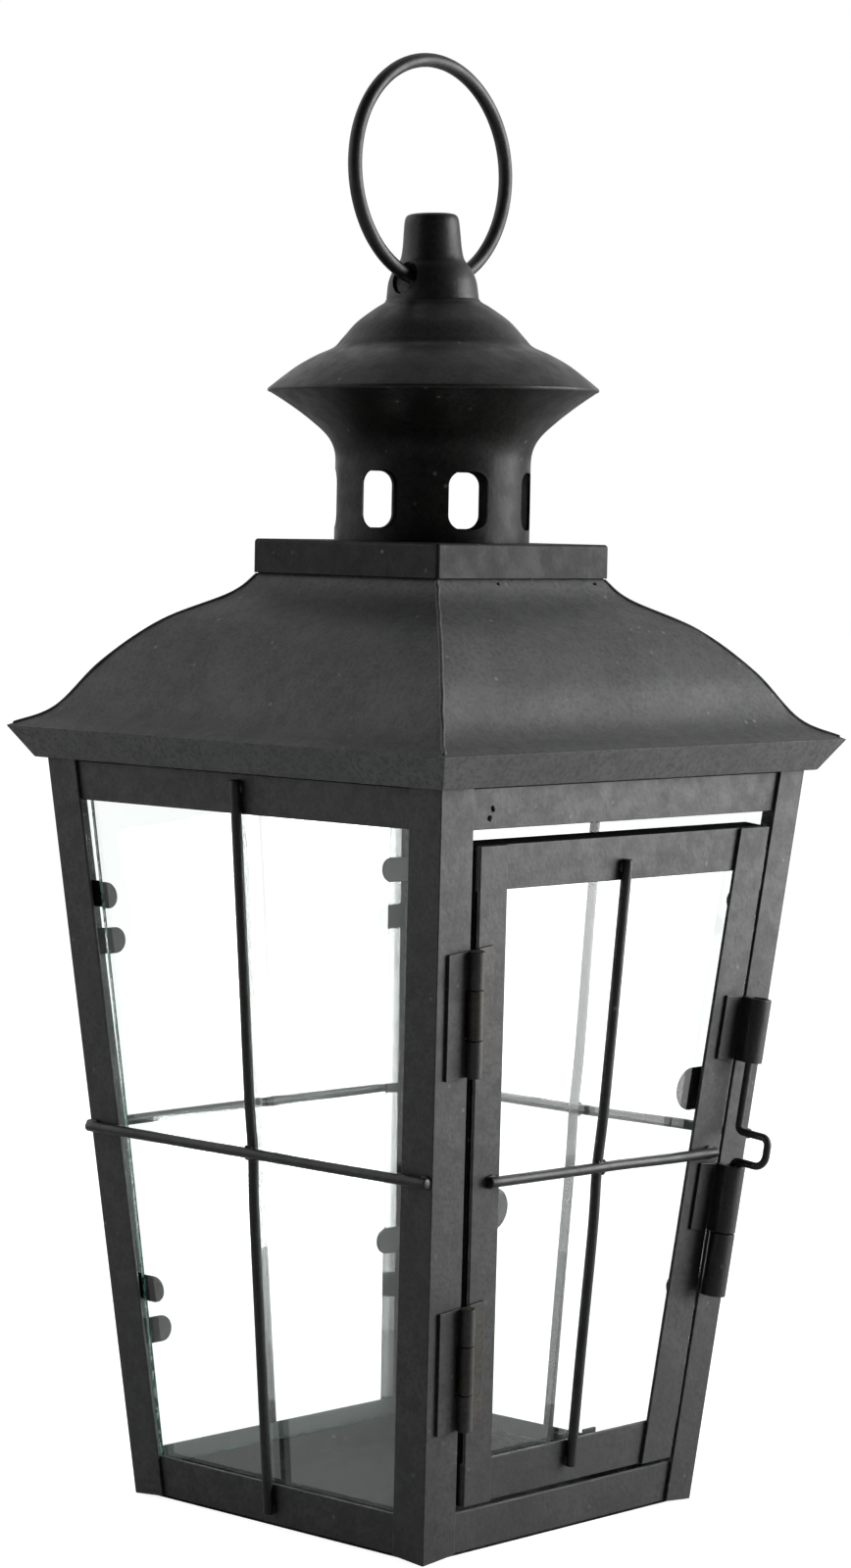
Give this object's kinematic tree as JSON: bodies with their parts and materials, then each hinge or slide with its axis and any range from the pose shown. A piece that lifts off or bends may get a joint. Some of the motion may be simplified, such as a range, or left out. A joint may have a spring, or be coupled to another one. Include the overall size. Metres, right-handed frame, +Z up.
{
  "type": "candle lantern",
  "caption": "Square metal candle lantern with tapered glazed body, hinged glass door with a sliding wire bolt, hipped roof, vented round chimney and a hanging ring.",
  "frame": {"origin": "middle of the underside of the floor tray", "axes": "+Z up to the hanging ring, -Y towards the door, +X to the right as one faces the door"},
  "size_m": [0.15, 0.15, 0.3644],
  "materials": {
    "black_paint": "matt black powder coat on folded and spun sheet",
    "window_glass": "clear 2 mm sheet, green at the cut edges",
    "pin_steel": "dull, browned"
  },
  "bodies": {
    "frame": {"floor_tray": "black_paint", "post_front_left": "black_paint", "post_front_right": "black_paint", "post_rear_right": "black_paint", "post_rear_left": "black_paint", "bottom_rail_front": "black_paint", "top_rail_front": "black_paint", "bottom_rail_right": "black_paint", "top_rail_right": "black_paint", "bottom_rail_rear": "black_paint", "top_rail_rear": "black_paint", "bottom_rail_left": "black_paint", "top_rail_left": "black_paint", "pane_right": "window_glass", "pane_clips_right": "black_paint", "bar_cross_right": "black_paint", "bar_upright_right": "black_paint", "pane_rear": "window_glass", "pane_clips_rear": "black_paint", "bar_cross_rear": "black_paint", "bar_upright_rear": "black_paint", "pane_left": "window_glass", "pane_clips_left": "black_paint", "bar_cross_left": "black_paint", "bar_upright_left": "black_paint", "hinge_frame_leaf_lower": "black_paint", "hinge_frame_leaf_upper": "black_paint", "hinge_pin_lower": "pin_steel", "hinge_pin_upper": "pin_steel", "bolt_keeper": "black_paint", "eave_band": "black_paint", "roof_shell": "black_paint", "roof_collar": "black_paint", "chimney": "black_paint", "cap": "black_paint", "finial": "black_paint"},
    "door": {"door_hinge_stile": "black_paint", "door_latch_stile": "black_paint", "door_bottom_rail": "black_paint", "door_top_rail": "black_paint", "door_hinge_return": "black_paint", "door_latch_return": "black_paint", "door_top_return": "black_paint", "door_pane": "window_glass", "door_clips": "black_paint", "door_foot_clips": "black_paint", "door_bar_cross": "black_paint", "door_bar_upright": "black_paint", "hinge_door_leaf_lower": "black_paint", "hinge_door_leaf_upper": "black_paint", "bolt_sleeve_upper": "black_paint", "bolt_sleeve_lower": "black_paint"},
    "bolt": {"bolt_pin": "black_paint"},
    "ring": {"hanging_ring": "black_paint"}
  },
  "joints": [
    {"name": "door_hinge", "type": "hinge", "parent": "frame", "child": "door", "pos_m": [-0.0388, -0.05209, -0.0002], "axis": [0.0927, 0.0927, -0.9914], "range_deg": [0, 70]},
    {"name": "bolt_slide", "type": "slide", "parent": "door", "child": "bolt", "axis": [0.0927, -0.0927, 0.9914], "range_m": [0, 0.0163]},
    {"name": "ring_swing", "type": "hinge", "parent": "frame", "child": "ring", "pos_m": [0, 0, 0.3089], "axis": [1, 0, 0], "range_deg": [-120, 120]}
  ]
}
